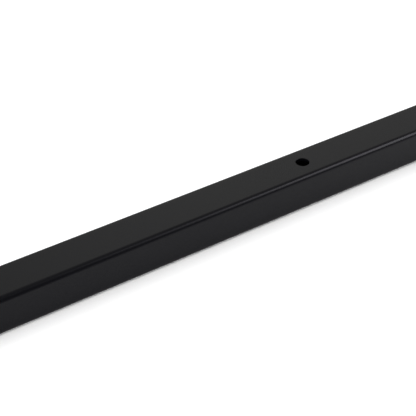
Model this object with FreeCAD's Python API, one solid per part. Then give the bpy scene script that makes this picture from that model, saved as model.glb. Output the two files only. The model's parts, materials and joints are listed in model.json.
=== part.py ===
import FreeCAD, Part
import math
import os

# Truck bed header rail: an extruded channel that bolts across the front wall of a pickup bed.
# Its back wall takes the bolts, and tie-down cleats slide along the slot in its other side.
# It lies slot down, as it rests on a bench: X along the rail, Y across it, Z up, in millimetres.
# The origin is the middle of the face that it rests on.

# Channel section
RAIL_LENGTH = 1390.0
RAIL_WIDTH = 41.0
RAIL_HEIGHT = 36.0
SIDE_WALL = 3.0
BACK_WALL = 3.0
LIP_THICKNESS = 3.5
SLOT_WIDTH = 20.0
OUTER_CORNER_RADIUS = 4.8
INNER_CORNER_RADIUS = 1.5
LIP_EDGE_RADIUS = 1.0

# Bolt holes in the back wall, evenly spaced between the two end ones
BOLT_HOLE_DIAMETER = 12.5
BOLT_HOLE_COUNT = 4
BOLT_END_DISTANCE = 95.0

# Moulded end caps: a head over the cut end, and a hollow barbed plug inside the channel
CAP_HEAD_THICKNESS = 5.0
CAP_HEAD_STEP = 0.4
CAP_EDGE_RADIUS = 1.5
PLUG_LENGTH = 24.0
PLUG_WALL = 2.0
PLUG_CORNER_RADIUS = 1.5
BARB_COUNT = 3
BARB_LENGTH = 4.0
BARB_HEIGHT = 1.6
BARB_FIT_GAP = 0.1

UP = FreeCAD.Vector(0, 0, 1)
CENTRE = FreeCAD.Vector(0, 0, 0)
RAIL_END = RAIL_LENGTH / 2


def rounded_wire(x, corners):
    """A closed wire in the plane at x, through (y, z, radius) corners, each rounded by its own radius."""
    points = [FreeCAD.Vector(x, y, z) for y, z, _ in corners]
    arcs = []
    for i, (_, _, radius) in enumerate(corners):
        corner = points[i]
        back = (points[i - 1] - corner).normalize()
        ahead = (points[(i + 1) % len(points)] - corner).normalize()
        inward = (back + ahead).normalize()
        half_angle = back.getAngle(ahead) / 2
        reach = radius / math.tan(half_angle)
        depth = radius / math.sin(half_angle) - radius
        arcs.append(Part.Arc(corner + back * reach, corner + inward * depth, corner + ahead * reach))
    edges = []
    for i, arc in enumerate(arcs):
        edges.append(Part.LineSegment(arcs[i - 1].EndPoint, arc.StartPoint).toShape())
        edges.append(arc.toShape())
    return Part.Wire(edges)


def rectangle_wire(x, half_width, low, high, radius):
    """A rounded rectangle in the plane at x, centred on the rail's width."""
    corners = [(-half_width, low), (half_width, low), (half_width, high), (-half_width, high)]
    return rounded_wire(x, [(y, z, radius) for y, z in corners])


def hollow_wire(x, inset, radius):
    """The channel's hollow at x, drawn in by inset on every side."""
    half_width = RAIL_WIDTH / 2 - SIDE_WALL - inset
    low = LIP_THICKNESS + inset
    high = RAIL_HEIGHT - BACK_WALL - inset
    return rectangle_wire(x, half_width, low, high, radius)


def along_rail(wire, length):
    """The wire's face, extruded towards +X."""
    return Part.Face(wire).extrude(FreeCAD.Vector(length, 0, 0))


def rail_section(x):
    """The channel's outline at x: outside corners, then round one lip, the hollow and the other lip."""
    outside = RAIL_WIDTH / 2
    inside = outside - SIDE_WALL
    mouth = SLOT_WIDTH / 2
    ceiling = RAIL_HEIGHT - BACK_WALL
    half = [
        (outside, RAIL_HEIGHT, OUTER_CORNER_RADIUS),
        (outside, 0, OUTER_CORNER_RADIUS),
        (mouth, 0, LIP_EDGE_RADIUS),
        (mouth, LIP_THICKNESS, LIP_EDGE_RADIUS),
        (inside, LIP_THICKNESS, INNER_CORNER_RADIUS),
        (inside, ceiling, INNER_CORNER_RADIUS),
    ]
    other_half = [(-y, z, radius) for y, z, radius in reversed(half)]
    return rounded_wire(x, half + other_half)


def bolt_stations():
    """Where the bolt holes are along the rail."""
    first = BOLT_END_DISTANCE - RAIL_END
    pitch = -2 * first / (BOLT_HOLE_COUNT - 1)
    return [first + i * pitch for i in range(BOLT_HOLE_COUNT)]


def make_rail():
    """The extruded channel, drilled through its back wall."""
    channel = along_rail(rail_section(-RAIL_END), RAIL_LENGTH)
    drill_start = RAIL_HEIGHT - 2 * BACK_WALL
    drills = [
        Part.makeCylinder(BOLT_HOLE_DIAMETER / 2, 3 * BACK_WALL, FreeCAD.Vector(x, 0, drill_start), UP)
        for x in bolt_stations()
    ]
    return channel.cut(drills).Solids[0]


def cap_head():
    """The plate over the rail's right end, just inside the rail's outline, with a rounded outer rim."""
    half_width = RAIL_WIDTH / 2 - CAP_HEAD_STEP
    radius = OUTER_CORNER_RADIUS - CAP_HEAD_STEP
    outline = rectangle_wire(RAIL_END, half_width, CAP_HEAD_STEP, RAIL_HEIGHT - CAP_HEAD_STEP, radius)
    plate = along_rail(outline, CAP_HEAD_THICKNESS)
    rim = [edge for edge in plate.Edges if edge.BoundBox.XMin > RAIL_END + CAP_HEAD_THICKNESS / 2]
    return plate.makeFillet(CAP_EDGE_RADIUS, rim)


def plug_barb(start):
    """A ring that tapers from the plug's core out to the channel's walls."""
    root = hollow_wire(start, BARB_FIT_GAP + BARB_HEIGHT, PLUG_CORNER_RADIUS)
    tip = hollow_wire(start + BARB_LENGTH, BARB_FIT_GAP, INNER_CORNER_RADIUS)
    return Part.makeLoft([root, tip], True, True)


def make_right_cap():
    """The cap's head, with a barbed plug that is open at its inner end."""
    plug_start = RAIL_END - PLUG_LENGTH
    core_inset = BARB_FIT_GAP + BARB_HEIGHT
    core = along_rail(hollow_wire(plug_start, core_inset, PLUG_CORNER_RADIUS), PLUG_LENGTH)
    pocket = along_rail(hollow_wire(plug_start, core_inset + PLUG_WALL, PLUG_CORNER_RADIUS), PLUG_LENGTH)
    barb_pitch = PLUG_LENGTH / BARB_COUNT
    barbs = [plug_barb(plug_start + i * barb_pitch) for i in range(BARB_COUNT)]
    return cap_head().fuse([core] + barbs).cut(pocket).Solids[0]


def main():
    right_cap = make_right_cap()
    pieces = {
        "rail": make_rail(),
        "right_end_cap": right_cap,
        "left_end_cap": right_cap.rotated(CENTRE, UP, 180),
    }
    os.makedirs("parts", exist_ok=True)
    for name, shape in pieces.items():
        shape.exportStep(os.path.join("parts", name + ".step"))
        print(name, "valid" if shape.isValid() else "not valid", round(shape.Volume), "mm3")


main()
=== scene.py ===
# %% [markdown]
# # Truck bed header rail
#
# A header rail is a slotted aluminium channel that bolts across the front wall of a pickup bed, so
# that tie-down cleats can slide along its slot. Here it lies slot down, with its drilled back wall
# up. The CAD parts come first, as a fixed frame in metres, and each piece below is built in that
# same frame.

# %% Load the CAD parts
import json
import math

import bmesh
import bpy
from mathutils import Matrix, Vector


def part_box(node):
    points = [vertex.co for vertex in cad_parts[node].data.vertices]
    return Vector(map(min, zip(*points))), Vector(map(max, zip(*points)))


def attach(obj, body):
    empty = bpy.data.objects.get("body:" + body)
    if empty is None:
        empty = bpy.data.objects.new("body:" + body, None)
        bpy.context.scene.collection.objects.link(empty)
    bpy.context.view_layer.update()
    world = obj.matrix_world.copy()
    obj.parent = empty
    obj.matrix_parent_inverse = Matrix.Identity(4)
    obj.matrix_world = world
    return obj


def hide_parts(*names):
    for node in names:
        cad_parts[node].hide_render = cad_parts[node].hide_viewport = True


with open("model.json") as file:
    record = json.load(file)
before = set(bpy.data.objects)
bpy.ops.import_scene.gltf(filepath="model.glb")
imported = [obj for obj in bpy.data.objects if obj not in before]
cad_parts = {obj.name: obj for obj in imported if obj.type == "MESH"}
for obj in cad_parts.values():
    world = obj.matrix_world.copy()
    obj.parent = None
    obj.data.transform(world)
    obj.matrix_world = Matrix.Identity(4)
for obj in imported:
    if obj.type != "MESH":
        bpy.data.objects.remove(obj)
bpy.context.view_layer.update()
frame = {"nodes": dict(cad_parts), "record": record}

rail_low, rail_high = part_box("rail")
rail_size = rail_high - rail_low
MM = 0.001
print("The rail measures", [round(side / MM, 1) for side in rail_size], "mm")

# %% [markdown]
# ## Helpers for colours, nodes and objects
#
# Colours are written as sRGB hex codes, as a paint chart gives them, but a shader works in linear
# light. Node trees get long when each node takes five lines, so one function adds a node with its
# values, its links and its settings. A socket passed as a value becomes a link.

# %% Helpers


def linear_colour(hex_code):
    """An sRGB hex colour as linear RGBA, by the two parts of the sRGB curve."""
    channels = [int(hex_code[i:i + 2], 16) / 255 for i in (1, 3, 5)]
    linear = [c / 12.92 if c <= 0.04045 else ((c + 0.055) / 1.055) ** 2.4 for c in channels]
    return (*linear, 1.0)


def pick(sockets, key):
    """The socket with that identifier or name. A Mix node has several sockets of one name."""
    return next(socket for socket in sockets if key in (socket.identifier, socket.name))


def add_node(tree, kind, inputs=None, **settings):
    """Adds a node, sets its settings, and fills its inputs with values or links."""
    node = tree.nodes.new(kind)
    for name, value in settings.items():
        setattr(node, name, value)
    for key, value in (inputs or {}).items():
        if isinstance(value, bpy.types.NodeSocket):
            tree.links.new(value, pick(node.inputs, key))
        else:
            pick(node.inputs, key).default_value = value
    return node


def new_material(name):
    """A node material with nothing in it yet, and its node tree."""
    material = bpy.data.materials.new(name)
    material.use_nodes = True
    material.node_tree.nodes.clear()
    return material, material.node_tree


def add_object(name, data):
    """A new object for a mesh, a lamp or a camera, linked into the scene."""
    thing = bpy.data.objects.new(name, data)
    bpy.context.scene.collection.objects.link(thing)
    return thing


print("Mid grey on the chart, in linear light:", round(linear_colour("#808080")[0], 3))

# %% [markdown]
# ## Satin black powder coat
#
# The extrusion is sprayed with polyester powder and baked. The powder melts into one skin, so the
# coat has no brush marks: only orange peel, low waves a couple of millimetres across, and a fine
# tooth from its matting agent, which spreads each reflection into a soft sheen and keeps it weak. A
# single flat black would look like a hole in the picture. The waves are noise in the bump, at their
# real width. A second noise varies the roughness a little. The real tooth is finer than a hair, so
# it is drawn as coarse as 0.6 mm to show at all. Blender's noise keeps mostly to the band from 0.3
# to 0.7, and that band is spread from the coat's smoothest to its roughest.

# %% Powder coat material
PEEL_WAVE = 2.2 * MM
PEEL_HEIGHT = 0.004 * MM
PEEL_DETAIL = 1.0
TOOTH_WIDTH = 0.6 * MM
TOOTH_DETAIL = 2.0
NOISE_LOW = 0.3
NOISE_HIGH = 0.7
COAT_HOLLOW = "#0a0a0f"
COAT_CREST = "#0c0c11"
COAT_SMOOTHEST = 0.25
COAT_ROUGHEST = 0.29
COAT_SPECULAR = 0.12


def powder_coat():
    """Black with orange peel in its bump and a fine tooth in its roughness."""
    material, tree = new_material("Satin black polyester powder coat")
    place = add_node(tree, "ShaderNodeTexCoord").outputs["Object"]
    peel = add_node(
        tree, "ShaderNodeTexNoise",
        {"Vector": place, "Scale": 1 / PEEL_WAVE, "Detail": PEEL_DETAIL},
    )
    tooth = add_node(
        tree, "ShaderNodeTexNoise",
        {"Vector": place, "Scale": 1 / TOOTH_WIDTH, "Detail": TOOTH_DETAIL},
    )
    roughness = add_node(
        tree, "ShaderNodeMapRange",
        {
            "Value": tooth.outputs["Fac"],
            "From Min": NOISE_LOW,
            "From Max": NOISE_HIGH,
            "To Min": COAT_SMOOTHEST,
            "To Max": COAT_ROUGHEST,
        },
    )
    colour = add_node(
        tree, "ShaderNodeMix",
        {
            "Factor_Float": peel.outputs["Fac"],
            "A_Color": linear_colour(COAT_HOLLOW),
            "B_Color": linear_colour(COAT_CREST),
        },
        data_type="RGBA",
    )
    bump = add_node(
        tree, "ShaderNodeBump",
        {"Height": peel.outputs["Fac"], "Distance": PEEL_HEIGHT},
    )
    coat = add_node(
        tree, "ShaderNodeBsdfPrincipled",
        {
            "Base Color": pick(colour.outputs, "Result_Color"),
            "Roughness": roughness.outputs["Result"],
            "Specular IOR Level": COAT_SPECULAR,
            "Normal": bump.outputs["Normal"],
        },
    )
    add_node(tree, "ShaderNodeOutputMaterial", {"Surface": coat.outputs["BSDF"]})
    return material


coat_material = powder_coat()
print("Made", coat_material.name, "with peel waves of", PEEL_WAVE / MM, "mm")

# %% [markdown]
# ## Moulded end-cap plastic
#
# The caps are injection moulded in black polypropylene. A mould for such a part is spark eroded,
# which leaves an even matt grain of a few tenths of a millimetre. It is drawn here at half a
# millimetre, so that it shows from close by. Voronoi cells give that grain in the bump, and a
# rougher surface makes the sheen duller than the coat's.

# %% Cap plastic material
GRAIN_WIDTH = 0.5 * MM
GRAIN_HEIGHT = 0.012 * MM
PLASTIC_PIT = "#131314"
PLASTIC_PEAK = "#181819"
PLASTIC_ROUGHNESS = 0.5
PLASTIC_SPECULAR = 0.25


def cap_plastic():
    """Black plastic with the mould's matt grain in its bump."""
    material, tree = new_material("Spark-eroded black polypropylene")
    place = add_node(tree, "ShaderNodeTexCoord").outputs["Object"]
    grain = add_node(
        tree, "ShaderNodeTexVoronoi",
        {"Vector": place, "Scale": 1 / GRAIN_WIDTH},
    )
    colour = add_node(
        tree, "ShaderNodeMix",
        {
            "Factor_Float": grain.outputs["Distance"],
            "A_Color": linear_colour(PLASTIC_PIT),
            "B_Color": linear_colour(PLASTIC_PEAK),
        },
        data_type="RGBA",
    )
    bump = add_node(
        tree, "ShaderNodeBump",
        {"Height": grain.outputs["Distance"], "Distance": GRAIN_HEIGHT},
    )
    plastic = add_node(
        tree, "ShaderNodeBsdfPrincipled",
        {
            "Base Color": pick(colour.outputs, "Result_Color"),
            "Roughness": PLASTIC_ROUGHNESS,
            "Specular IOR Level": PLASTIC_SPECULAR,
            "Normal": bump.outputs["Normal"],
        },
    )
    add_node(tree, "ShaderNodeOutputMaterial", {"Surface": plastic.outputs["BSDF"]})
    return material


plastic_material = cap_plastic()
print("Made", plastic_material.name, "with a grain of", GRAIN_WIDTH / MM, "mm")

# %% [markdown]
# ## The channel's section
#
# An extrusion has one section from end to end, and that section is twelve corners, each with its
# own radius: large outside, smaller inside, smallest on the lips of the slot. Drawing the arcs by
# hand would hide that rule. The corners are kept as a loop of vertices that carry their radius as
# an attribute.

# %% Draw the section
SIDE_WALL = 3.0 * MM
BACK_WALL = 3.0 * MM
LIP_THICKNESS = 3.5 * MM
SLOT_WIDTH = 20.0 * MM
OUTER_CORNER_RADIUS = 4.8 * MM
INNER_CORNER_RADIUS = 1.5 * MM
LIP_EDGE_RADIUS = 1.0 * MM


def section_corners():
    """The corners as (across, up, radius): the right half, then the left half mirrored."""
    outside = rail_size.y / 2
    inside = outside - SIDE_WALL
    mouth = SLOT_WIDTH / 2
    ceiling = rail_size.z - BACK_WALL
    right = [
        (outside, rail_size.z, OUTER_CORNER_RADIUS),
        (outside, 0, OUTER_CORNER_RADIUS),
        (mouth, 0, LIP_EDGE_RADIUS),
        (mouth, LIP_THICKNESS, LIP_EDGE_RADIUS),
        (inside, LIP_THICKNESS, INNER_CORNER_RADIUS),
        (inside, ceiling, INNER_CORNER_RADIUS),
    ]
    return right + [(-across, up, radius) for across, up, radius in reversed(right)]


def section_object(name):
    """The corners as a closed loop of edges, with each corner's radius as a point attribute."""
    corners = section_corners()
    points = [(across, up, 0) for across, up, _ in corners]
    edges = [(i, (i + 1) % len(corners)) for i in range(len(corners))]
    mesh = bpy.data.meshes.new(name)
    mesh.from_pydata(points, edges, [])
    radii = mesh.attributes.new("corner_radius", "FLOAT", "POINT")
    radii.data.foreach_set("value", [radius for _, _, radius in corners])
    return add_object(name, mesh)


rail = section_object("coated_rail")
print("Section drawn with", len(rail.data.vertices), "corners")

# %% [markdown]
# ## A node tree with named sizes
#
# Geometry Nodes make the rail the way the factory does: push the section along the length, then
# drill a row of equal holes through the back wall. A box with a stack of bevels and cuts would need
# care at each corner, and here a new length or hole count is one number. Each size is a named input
# of the tree.

# %% Start the rail's tree
RAIL_INPUTS = {
    "Left end": "NodeSocketVector",
    "Length": "NodeSocketFloat",
    "Corner segments": "NodeSocketInt",
    "Hole radius": "NodeSocketFloat",
    "Hole count": "NodeSocketInt",
    "First hole": "NodeSocketVector",
    "Hole step": "NodeSocketVector",
    "Drill depth": "NodeSocketFloat",
    "Finish": "NodeSocketMaterial",
}


def start_rail_tree():
    """An empty tree with its inputs and output, and the sockets that give it its sizes."""
    tree = bpy.data.node_groups.new("Swept and drilled rail", "GeometryNodeTree")
    tree.interface.new_socket("Geometry", in_out="INPUT", socket_type="NodeSocketGeometry")
    for name, kind in RAIL_INPUTS.items():
        tree.interface.new_socket(name, in_out="INPUT", socket_type=kind)
    tree.interface.new_socket("Geometry", in_out="OUTPUT", socket_type="NodeSocketGeometry")
    return tree, add_node(tree, "NodeGroupInput").outputs


rail_tree, size_sockets = start_rail_tree()
print("The rail's tree takes", ", ".join(RAIL_INPUTS))

# %% [markdown]
# ## Sweep the section
#
# This is the extrusion press. The corners are rounded by the radius that each carries, and the
# section follows a straight line along the rail. Curve to Mesh stands the section across the line
# and turns it to the line's normal, so that normal is given outright to keep the slot facing down.

# %% Nodes that sweep the section
ALONG_RAIL = (1, 0, 0)
ACROSS_RAIL = (0, 1, 0)


def swept_channel(tree, sizes):
    """The rounded section, swept along the rail and closed at both ends."""
    loop = add_node(tree, "GeometryNodeMeshToCurve", {"Mesh": sizes["Geometry"]})
    radius = add_node(tree, "GeometryNodeInputNamedAttribute", {"Name": "corner_radius"})
    section = add_node(
        tree, "GeometryNodeFilletCurve",
        {
            "Curve": loop.outputs[0],
            "Count": sizes["Corner segments"],
            "Radius": radius.outputs[0],
        },
        mode="POLY",
    )
    line = add_node(
        tree, "GeometryNodeCurvePrimitiveLine",
        {"Start": sizes["Left end"], "Direction": ALONG_RAIL, "Length": sizes["Length"]},
        mode="DIRECTION",
    )
    path = add_node(
        tree, "GeometryNodeSetCurveNormal",
        {"Curve": line.outputs[0], "Normal": ACROSS_RAIL},
        mode="FREE",
    )
    sweep = add_node(
        tree, "GeometryNodeCurveToMesh",
        {"Curve": path.outputs[0], "Profile Curve": section.outputs[0], "Fill Caps": True},
    )
    return sweep.outputs[0]


channel = swept_channel(rail_tree, size_sockets)
print("Nodes so far:", len(rail_tree.nodes))

# %% [markdown]
# ## Drill the bolt holes
#
# A row of points carries one round drill each, and a boolean takes all the drills from the channel
# at once. The edges that they leave are marked, because they are rounded later. Last come the
# smooth shading and the coat.

# %% Nodes that drill and finish the rail
DRILL_SIDES = 96


def drilled_channel(tree, sizes, solid):
    """The channel less a row of drills, with the drilled edges marked for a bevel."""
    drill = add_node(
        tree, "GeometryNodeMeshCylinder",
        {
            "Vertices": DRILL_SIDES,
            "Radius": sizes["Hole radius"],
            "Depth": sizes["Drill depth"],
        },
    )
    stations = add_node(
        tree, "GeometryNodeMeshLine",
        {
            "Count": sizes["Hole count"],
            "Start Location": sizes["First hole"],
            "Offset": sizes["Hole step"],
        },
    )
    drills = add_node(
        tree, "GeometryNodeInstanceOnPoints",
        {"Points": stations.outputs[0], "Instance": drill.outputs["Mesh"]},
    )
    cutters = add_node(tree, "GeometryNodeRealizeInstances", {"Geometry": drills.outputs[0]})
    drilled = add_node(
        tree, "GeometryNodeMeshBoolean",
        {"Mesh 1": solid, "Mesh 2": cutters.outputs[0]},
        operation="DIFFERENCE", solver="EXACT",
    )
    marked = add_node(
        tree, "GeometryNodeStoreNamedAttribute",
        {
            "Geometry": drilled.outputs["Mesh"],
            "Name": "bevel_weight_edge",
            "Value": drilled.outputs["Intersecting Edges"],
        },
        data_type="FLOAT", domain="EDGE",
    )
    return marked.outputs[0]


def finish_rail_tree(tree, sizes, solid):
    """Shades the solid smooth, coats it and hands it to the tree's output."""
    smooth = add_node(tree, "GeometryNodeSetShadeSmooth", {"Geometry": solid})
    real = add_node(tree, "GeometryNodeRealizeInstances", {"Geometry": smooth.outputs[0]})
    coated = add_node(
        tree, "GeometryNodeSetMaterial",
        {"Geometry": real.outputs[0], "Material": sizes["Finish"]},
    )
    add_node(tree, "NodeGroupOutput", {"Geometry": coated.outputs[0]})


drilled_rail = drilled_channel(rail_tree, size_sockets, channel)
finish_rail_tree(rail_tree, size_sockets, drilled_rail)
print("Nodes in the whole tree:", len(rail_tree.nodes))

# %% [markdown]
# ## Set the sizes
#
# The hole sizes come from the record's bolt patterns, so that the looks and the CAD agree. A
# modifier's inputs are set by each socket's identifier, before the rail is first worked out.

# %% Give the tree its sizes
CORNER_SEGMENTS = 12
DRILL_DEPTH = 3 * BACK_WALL


def bolt_holes():
    """The hole radius and the holes' places along the rail, from the record's bolt patterns."""
    mounts = frame["record"]["mounts"]
    patterns = [mount["dims"] for mount in mounts if mount["kind"] == "bolt_pattern"]
    spacings = [dims["spacing_x_mm"] * MM for dims in patterns]
    places = sorted(side * spacing / 2 for spacing in spacings for side in (-1, 1))
    return patterns[0]["hole_r_mm"] * MM, places


hole_radius, hole_places = bolt_holes()
rail_sizes = {
    "Left end": (rail_low.x, 0, 0),
    "Length": rail_size.x,
    "Corner segments": CORNER_SEGMENTS,
    "Hole radius": hole_radius,
    "Hole count": len(hole_places),
    "First hole": (hole_places[0], 0, rail_high.z - BACK_WALL / 2),
    "Hole step": (hole_places[1] - hole_places[0], 0, 0),
    "Drill depth": DRILL_DEPTH,
    "Finish": coat_material,
}
sweep_modifier = rail.modifiers.new("Sweep and drill", "NODES")
sweep_modifier.node_group = rail_tree
for socket in rail_tree.interface.items_tree:
    if socket.in_out == "INPUT" and socket.name in rail_sizes:
        sweep_modifier[socket.identifier] = rail_sizes[socket.name]
print("Holes drilled at", [round(place / MM) for place in hole_places], "mm")

# %% [markdown]
# ## Round the rims and keep the mesh
#
# No drilled rim stays sharp under a coat: it is deburred, and the powder flows over it. A Bevel
# modifier rounds the marked edges, and Weighted Normal keeps the flat faces flat up to their
# roundings. Last, the evaluated mesh replaces the modifiers, so that the piece is a plain mesh.

# %% Make the rail
RIM_RADIUS = 0.4 * MM
RIM_SEGMENTS = 4
FLAT_FACE_WEIGHT = 100


def settle(piece):
    """Replaces a piece's modifiers with the plain mesh that they make."""
    depsgraph = bpy.context.evaluated_depsgraph_get()
    shape = piece.evaluated_get(depsgraph)
    mesh = bpy.data.meshes.new_from_object(
        shape, preserve_all_data_layers=True, depsgraph=depsgraph,
    )
    piece.modifiers.clear()
    piece.data = mesh
    return piece


def keep_faces_flat(piece):
    """Shades by the larger faces, so that a rounding doesn't tint the flat beside it."""
    weighted = piece.modifiers.new("Flat faces stay flat", "WEIGHTED_NORMAL")
    weighted.weight = FLAT_FACE_WEIGHT
    weighted.keep_sharp = True


rim = rail.modifiers.new("Coated rims", "BEVEL")
rim.limit_method = "WEIGHT"
rim.width = RIM_RADIUS
rim.segments = RIM_SEGMENTS
keep_faces_flat(rail)
settle(rail)
print("Rail mesh has", len(rail.data.polygons), "faces and", len(hole_places), "holes")

# %% [markdown]
# ## End caps
#
# Each cap is a moulded head with a barbed plug inside the channel. Its CAD shape is already right,
# so it isn't modelled twice: a copy of the CAD mesh has its loose triangles joined, which lets its
# roundings shade smooth, while its real corners stay crisp.

# %% Make the end caps
CRISP_ANGLE = math.radians(35)
WELD_DISTANCE = 0.001 * MM


def moulded_cap(node):
    """A welded, smooth-shaded copy of a cap's CAD mesh."""
    mesh = bpy.data.meshes.new(node + "_moulding")
    shape = bmesh.new()
    shape.from_mesh(frame["nodes"][node].data)
    bmesh.ops.remove_doubles(shape, verts=shape.verts, dist=WELD_DISTANCE)
    shape.to_mesh(mesh)
    shape.free()
    mesh.shade_smooth()
    mesh.set_sharp_from_angle(angle=CRISP_ANGLE)
    mesh.materials.clear()
    mesh.materials.append(plastic_material)
    cap = add_object(node + "_moulding", mesh)
    keep_faces_flat(cap)
    return settle(cap)


caps = {node: moulded_cap(node) for node in ("left_end_cap", "right_end_cap")}
for node, cap in caps.items():
    print(cap.name, "has", len(cap.data.polygons), "faces")

# %% [markdown]
# ## White floor
#
# The rail lies on white paper that is bright enough to vanish. Turning the lamps up until the paper
# burns out would also wash out the coat, so the paper's own colour is lifted only for what the
# camera and the reflections see of it. It is still a diffuse surface, so it keeps the rail's
# shadow. The studio's own sizes are in metres.

# %% Floor
FLOOR_SIDE = 60.0
FLOOR_DROP = 0.1 * MM
PAPER_GREY = 0.85
PAPER_LIFTED = 1.44


def white_paper():
    """Pale paper that looks lifted to white, but sheds no more light than paper does."""
    material, tree = new_material("White studio paper")
    ray = add_node(tree, "ShaderNodeLightPath").outputs
    seen = add_node(
        tree, "ShaderNodeMath",
        {"Value": ray["Is Camera Ray"], "Value_001": ray["Is Glossy Ray"]},
        operation="MAXIMUM",
    )
    seen_or_through = add_node(
        tree, "ShaderNodeMath",
        {"Value": seen.outputs[0], "Value_001": ray["Is Transmission Ray"]},
        operation="MAXIMUM",
    )
    brightness = add_node(
        tree, "ShaderNodeMix",
        {
            "Factor_Float": seen_or_through.outputs[0],
            "A_Float": PAPER_GREY,
            "B_Float": PAPER_LIFTED,
        },
    )
    paper = add_node(
        tree, "ShaderNodeBsdfDiffuse",
        {"Color": pick(brightness.outputs, "Result_Float")},
    )
    add_node(tree, "ShaderNodeOutputMaterial", {"Surface": paper.outputs["BSDF"]})
    return material


def flat_card(name, width, length, material):
    """A flat rectangle in the XY plane, facing +Z, that belongs to the studio."""
    x, y = width / 2, length / 2
    mesh = bpy.data.meshes.new(name)
    mesh.from_pydata([(-x, -y, 0), (x, -y, 0), (x, y, 0), (-x, y, 0)], [], [(0, 1, 2, 3)])
    mesh.materials.append(material)
    card = add_object(name, mesh)
    return card


floor = flat_card("floor", FLOOR_SIDE, FLOOR_SIDE, white_paper())
floor.location.z = -FLOOR_DROP
print("Floor of", FLOOR_SIDE, "m laid under the rail")

# %% [markdown]
# ## Sky and hood
#
# A black coat shows little else than what it mirrors, so the light is built from what each face
# sees. An even white sky lights the floor and gives the soft dark line where the rail meets it.
# Lamps alone would leave the rest to chance, so a curved hood goes over the rail, from low behind
# it to the front, for the reflections to sweep along. Only reflections meet the hood, so the floor
# stays evenly lit.

# %% Sky and hood
SKY_COLOUR = "#ffffff"
SKY_STRENGTH = 1.0
HOOD_RADIUS = 1.6
HOOD_LENGTH = 8.0
HOOD_BACK = math.radians(-75)
HOOD_FRONT = math.radians(90)
HOOD_STEPS = 32


def curved_hood():
    """An arc from behind the rail over to the front, drawn out along the rail."""
    arc = HOOD_FRONT - HOOD_BACK
    angles = [HOOD_BACK + arc * step / HOOD_STEPS for step in range(HOOD_STEPS + 1)]
    ends = (-HOOD_LENGTH / 2, HOOD_LENGTH / 2)
    points = [
        (end, -HOOD_RADIUS * math.sin(angle), HOOD_RADIUS * math.cos(angle))
        for angle in angles for end in ends
    ]
    faces = [(2 * i, 2 * i + 1, 2 * i + 3, 2 * i + 2) for i in range(HOOD_STEPS)]
    mesh = bpy.data.meshes.new("hood")
    mesh.from_pydata(points, [], faces)
    hood = add_object("hood", mesh)
    return hood


def for_reflections_alone(thing):
    """Hides a studio piece from the camera and from the light that falls on the floor."""
    thing.visible_camera = False
    thing.visible_diffuse = False
    thing.visible_shadow = False


world = bpy.data.worlds.new("White sky")
bpy.context.scene.world = world
world.use_nodes = True
sky = world.node_tree.nodes["Background"].inputs
sky["Color"].default_value = linear_colour(SKY_COLOUR)
sky["Strength"].default_value = SKY_STRENGTH
hood = curved_hood()
for_reflections_alone(hood)
print("Hood of", len(hood.data.polygons), "panels over the rail")

# %% [markdown]
# ## Hood lining
#
# Seen from the camera, the top mirrors what is behind the rail, and the rounded edge sweeps
# overhead to the camera's side, which is dark in a studio. The lining draws that sweep: it glows
# white behind the rail, brightest in one soft pool at the right, and fades to a dark front.

# %% Line the hood
LINING_COLOUR = "#fffffa"
LINING_DARK = 0.15
LINING_BLACK_AT = -0.9 * HOOD_RADIUS
LINING_WHITE_AT = 0.57 * HOOD_RADIUS
POOL_MIDDLE = (0.8, 1.2, 1.05)
POOL_RADIUS = 1.0
POOL_BRIGHT = 1.26
POOL_DIM = 0.88


def glowing_lining():
    """A lining that glows behind the rail, most in one pool, and fades to the front."""
    material, tree = new_material("Hood lining")
    place = add_node(tree, "ShaderNodeTexCoord").outputs["Object"]
    along_across_up = add_node(tree, "ShaderNodeSeparateXYZ", {"Vector": place})
    fade = add_node(
        tree, "ShaderNodeMapRange",
        {
            "Value": along_across_up.outputs["Y"],
            "From Min": LINING_BLACK_AT,
            "From Max": LINING_WHITE_AT,
        },
    )
    never_black = add_node(
        tree, "ShaderNodeMath",
        {"Value": fade.outputs["Result"], "Value_001": LINING_DARK},
        operation="MAXIMUM",
    )
    away = add_node(
        tree, "ShaderNodeVectorMath",
        {"Vector": place, "Vector_001": POOL_MIDDLE},
        operation="DISTANCE",
    )
    pool = add_node(
        tree, "ShaderNodeMapRange",
        {
            "Value": away.outputs["Value"],
            "From Max": POOL_RADIUS,
            "To Min": POOL_BRIGHT,
            "To Max": POOL_DIM,
        },
        interpolation_type="SMOOTHSTEP",
    )
    glow = add_node(
        tree, "ShaderNodeMath",
        {"Value": never_black.outputs[0], "Value_001": pool.outputs["Result"]},
        operation="MULTIPLY",
    )
    lining = add_node(
        tree, "ShaderNodeEmission",
        {"Color": linear_colour(LINING_COLOUR), "Strength": glow.outputs[0]},
    )
    add_node(tree, "ShaderNodeOutputMaterial", {"Surface": lining.outputs[0]})
    return material


hood.data.materials.append(glowing_lining())
print("Lining fades from", round(LINING_WHITE_AT, 2), "m to", round(LINING_BLACK_AT, 2), "m")

# %% [markdown]
# ## Dark card
#
# The lower half of the rounded edge would mirror the floor, and at the left that would be too
# bright. A black card on the floor takes its place there. The card thins out to nothing at its
# right edge, because a hard edge would show as a step along the rail's front from lower views.

# %% Lay the dark card
CARD_COLOUR = "#202020"
CARD_WIDTH = 1.7
CARD_LENGTH = 1.4
CARD_RIGHT = 0.26
CARD_BACK = -0.13
CARD_FADE = 0.4


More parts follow.
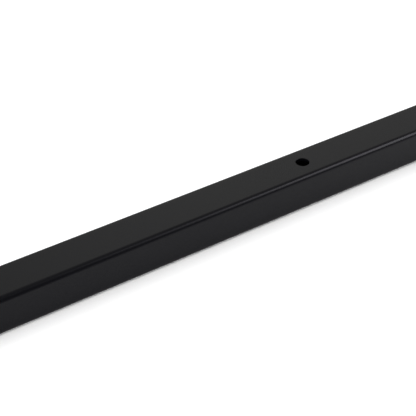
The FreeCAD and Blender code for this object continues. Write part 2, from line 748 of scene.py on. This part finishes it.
def black_card():
    """Black that thins out to nothing towards the card's right edge."""
    material, tree = new_material("Black card")
    place = add_node(tree, "ShaderNodeTexCoord").outputs["Object"]
    along_across_up = add_node(tree, "ShaderNodeSeparateXYZ", {"Vector": place})
    edge = CARD_WIDTH / 2
    thinning = add_node(
        tree, "ShaderNodeMapRange",
        {
            "Value": along_across_up.outputs["X"],
            "From Min": edge - CARD_FADE,
            "From Max": edge,
        },
        interpolation_type="SMOOTHSTEP",
    )
    black = add_node(tree, "ShaderNodeBsdfDiffuse", {"Color": linear_colour(CARD_COLOUR)})
    clear = add_node(tree, "ShaderNodeBsdfTransparent")
    card = add_node(
        tree, "ShaderNodeMixShader",
        {
            "Fac": thinning.outputs["Result"],
            "Shader": black.outputs[0],
            "Shader_001": clear.outputs[0],
        },
    )
    add_node(tree, "ShaderNodeOutputMaterial", {"Surface": card.outputs[0]})
    return material


front_card = flat_card("front_card", CARD_WIDTH, CARD_LENGTH, black_card())
front_card.location = (CARD_RIGHT - CARD_WIDTH / 2, CARD_BACK - CARD_LENGTH / 2, 0)
for_reflections_alone(front_card)
print("Card of", CARD_WIDTH, "by", CARD_LENGTH, "m in front of the rail")

# %% [markdown]
# ## Softboxes
#
# Two softboxes at the right, one bright and one dim, draw the line along the rounded edge, which
# fades to the left. They too show in reflections alone. A lamp's power is spread over its face, so
# it is worked out from the brightness that the face should have.

# %% Hang the softboxes
BOX_COLOUR = "#f9f7ff"
BOX_HEIGHT = 0.92
EDGE_BOX = {
    "place": Vector((1.3, -0.78, 0.9)),
    "target": Vector((0.33, 0, rail_high.z)),
    "length": 0.62,
    "brightness": 8.6,
}
DIM_BOX = {
    "place": Vector((0.75, -0.77, 0.89)),
    "target": Vector((0.1, 0, rail_high.z)),
    "length": 0.45,
    "brightness": 1.5,
}


def softbox(name, place, target, length, brightness):
    """An area lamp for reflections, aimed at a target on the rail."""
    lamp = bpy.data.lights.new(name, "AREA")
    lamp.color = linear_colour(BOX_COLOUR)[:3]
    lamp.shape = "RECTANGLE"
    lamp.size = length
    lamp.size_y = BOX_HEIGHT
    lamp.energy = brightness * math.pi * length * BOX_HEIGHT
    box = add_object(name, lamp)
    box.location = place
    box.rotation_mode = "QUATERNION"
    box.rotation_quaternion = (target - place).to_track_quat("-Z", "Y")
    box.visible_diffuse = False
    return box


boxes = [softbox("edge_softbox", **EDGE_BOX), softbox("dim_softbox", **DIM_BOX)]
print("Lit by", [box.name for box in boxes], "and the sky")

# %% [markdown]
# ## Camera
#
# The camera's place was worked out from the picture: the rail's edges meet at one vanishing point,
# and the hole's ellipse gives the tilt. It stands a metre away at the left, looks down by 36
# degrees, and frames the third hole from the left and a third of the rail, which runs out of the
# picture at both sides.

# %% Camera
FRAMED_HOLE = 2
CAMERA_FROM_HOLE = Vector((-558.6, -670.5, 611.4)) * MM
CAMERA_DOWN = math.radians(35.8)
CAMERA_TURN = math.radians(34.2)
CAMERA_LENS = 100.0
SENSOR_WIDTH = 36.0

lens = bpy.data.cameras.new("camera")
lens.lens = CAMERA_LENS
lens.sensor_width = SENSOR_WIDTH
camera = add_object("camera", lens)
camera.location = Vector((hole_places[FRAMED_HOLE], 0, 0)) + CAMERA_FROM_HOLE
camera.rotation_euler = (math.pi / 2 - CAMERA_DOWN, 0, -CAMERA_TURN)
bpy.context.scene.camera = camera
bpy.context.scene.view_settings.view_transform = "Standard"
print("Camera at", [round(value, 3) for value in camera.location], "m")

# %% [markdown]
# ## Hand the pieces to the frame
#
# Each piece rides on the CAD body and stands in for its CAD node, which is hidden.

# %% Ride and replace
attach(rail, "root")
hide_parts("rail")
for node, cap in caps.items():
    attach(cap, "root")
    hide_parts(node)
